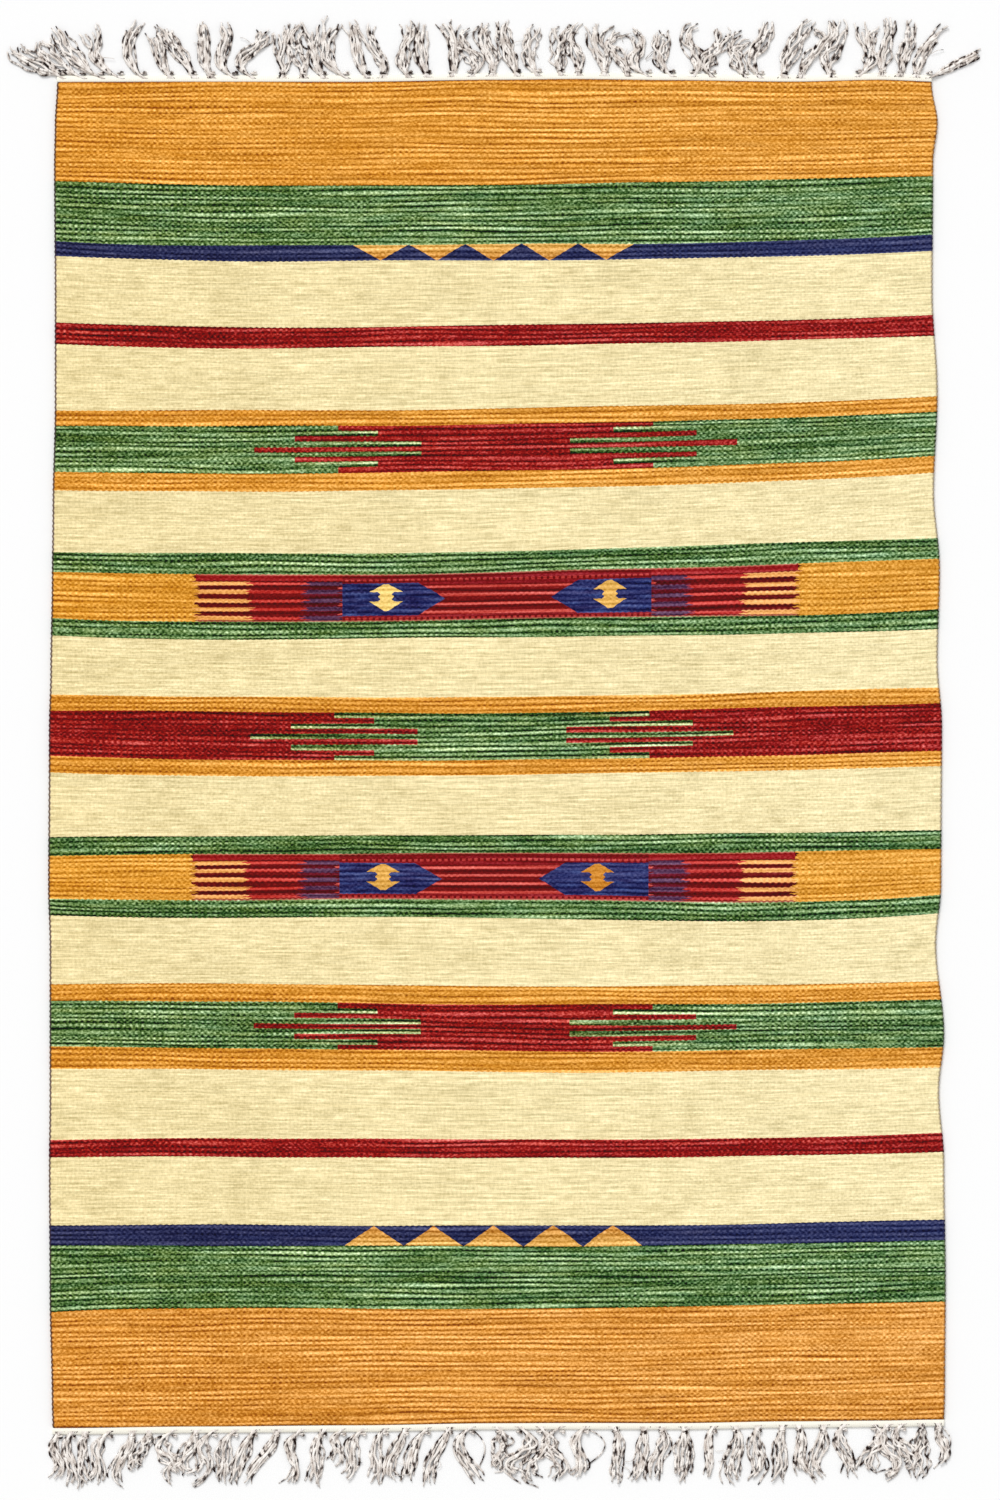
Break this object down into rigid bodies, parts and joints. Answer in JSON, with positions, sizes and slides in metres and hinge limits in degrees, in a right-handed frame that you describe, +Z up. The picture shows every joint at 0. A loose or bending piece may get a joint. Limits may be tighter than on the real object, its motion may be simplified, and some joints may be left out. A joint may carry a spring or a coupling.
{
  "type": "kilim rug",
  "caption": "Flat rectangular handwoven cotton rug with cross stripes and small geometric motifs, and knotted tassels along both ends.",
  "frame": {"origin": "on the floor under the middle of the whole rug, fringes included", "axes": "+Z up from the floor; +Y along the warps towards the far end; +X across the rug to the right"},
  "size_m": [0.6718, 1.0042, 0.003],
  "materials": {
    "dyed_weft": "weft-faced cotton weave in bands of orange, green, navy, cream and red",
    "undyed_warp": "undyed twisted cotton yarn, knotted in tassels"
  },
  "bodies": {
    "root": {"woven_cloth": "dyed_weft", "far_fringe": "undyed_warp", "near_fringe": "undyed_warp"}
  },
  "joints": []
}
